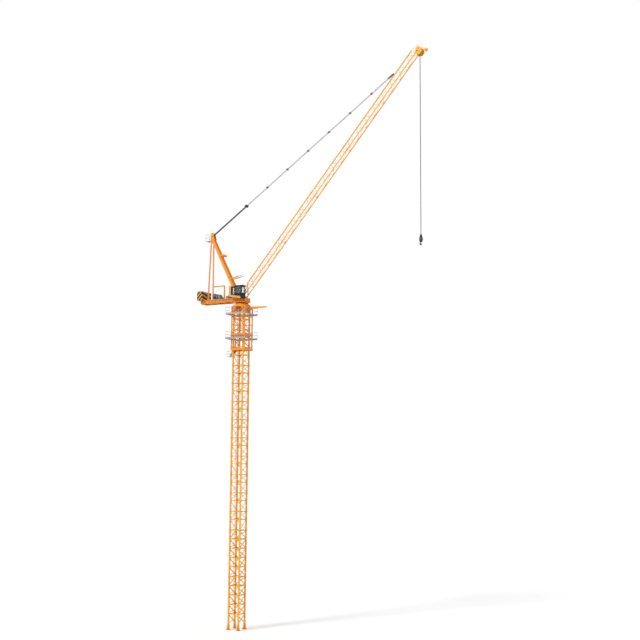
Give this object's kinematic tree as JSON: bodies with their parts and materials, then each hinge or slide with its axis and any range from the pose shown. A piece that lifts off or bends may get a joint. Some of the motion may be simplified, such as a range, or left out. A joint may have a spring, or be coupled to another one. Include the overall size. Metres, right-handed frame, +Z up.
{
  "type": "tower crane, 1:10 scale model",
  "caption": "Luffing-jib tower crane as a 1:10 scale model: lattice mast on anchored feet, climbing frame, slewing deck with cab and A-frame, pendant-held lattice jib, hoist rope and hook.",
  "frame": {"origin": "on the mast axis at the underside of the four foot plates", "axes": "+Z up the mast, +X along the jib in plan, -Y towards the cab side"},
  "size_m": [4.2078, 0.392, 9.232],
  "materials": {
    "orange_paint": "weathered satin paint",
    "grey_steel": "galvanised",
    "dark_steel": "greased dark steel",
    "red_paint": "satin paint",
    "hazard_paint": "yellow paint with black chevrons",
    "grey_paint": "satin paint",
    "cab_paint": "satin paint",
    "dark_paint": "satin paint",
    "glass": "clear",
    "wire_rope": "greased wire",
    "amber_paint": "satin paint"
  },
  "bodies": {
    "mast": {"foot_anchors": "orange_paint", "base_section_1": "orange_paint", "base_section_2": "orange_paint", "mast_section_01": "orange_paint", "mast_section_02": "orange_paint", "mast_section_03": "orange_paint", "mast_section_04": "orange_paint", "mast_section_05": "orange_paint", "mast_section_06": "orange_paint", "mast_section_07": "orange_paint", "mast_section_08": "orange_paint", "mast_section_09": "orange_paint", "mast_section_10": "orange_paint", "mast_section_11": "orange_paint", "mast_section_12": "orange_paint", "slewing_support": "orange_paint", "slewing_ring": "dark_steel", "climbing_frame": "orange_paint", "upper_platform": "grey_steel", "lower_platform": "grey_steel", "introduction_beam": "orange_paint", "climbing_ram": "red_paint", "pump_platform": "grey_steel", "hydraulic_unit": "red_paint"},
    "upper_works": {"slewing_platform": "orange_paint", "deck_girders": "orange_paint", "deck_floor": "grey_steel", "counterweight_slabs": "hazard_paint", "hoist_winch": "grey_steel", "luffing_winch": "grey_steel", "switch_cabinet": "grey_paint", "service_portal": "orange_paint", "cab_shell": "dark_paint", "cab_glazing": "glass", "cab_roof": "dark_paint", "cab_brackets": "cab_paint", "a_frame_front_legs": "orange_paint", "a_frame_sheave": "dark_steel", "a_frame_rear_ties": "orange_paint", "head_platform": "grey_steel", "jib_stops": "orange_paint", "jib_foot_brackets": "orange_paint", "luffing_rope": "wire_rope"},
    "jib": {"jib_section_1": "orange_paint", "jib_section_2": "orange_paint", "jib_section_3": "orange_paint", "jib_section_4": "orange_paint", "jib_section_5": "orange_paint", "jib_head_sheave": "dark_steel", "tip_lamp": "amber_paint", "pendant_bars": "wire_rope", "luffing_block": "dark_steel"},
    "hoist_line": {"hoist_rope": "wire_rope"},
    "lower_block": {"hook_block": "amber_paint"},
    "swivel_hook": {"hook": "dark_steel"}
  },
  "joints": [
    {"name": "slew", "type": "hinge", "parent": "mast", "child": "upper_works", "pos_m": [0, 0, 5.326], "axis": [0, 0, 1], "continuous": true},
    {"name": "luff", "type": "hinge", "parent": "upper_works", "child": "jib", "pos_m": [0.06, 0, 5.4283], "axis": [0, -1, 0], "range_deg": [-34.6, 30.4], "deforming": ["luffing_rope"]},
    {"name": "rope_plumb", "type": "hinge", "parent": "jib", "child": "hoist_line", "pos_m": [3.22607, 0, 9.14841], "axis": [0, -1, 0], "range_deg": [-30.4, 34.6]},
    {"name": "hoist", "type": "slide", "parent": "hoist_line", "child": "lower_block", "axis": [0, 0, 1], "range_m": [-3.3, 2.5], "deforming": ["hoist_rope"]},
    {"name": "hook_swivel", "type": "hinge", "parent": "lower_block", "child": "swivel_hook", "pos_m": [3.25537, 0, 6.09412], "axis": [0, 0, 1], "continuous": true}
  ],
  "couplings": [
    {"joint": "rope_plumb", "follows": "luff", "ratio": -1}
  ]
}
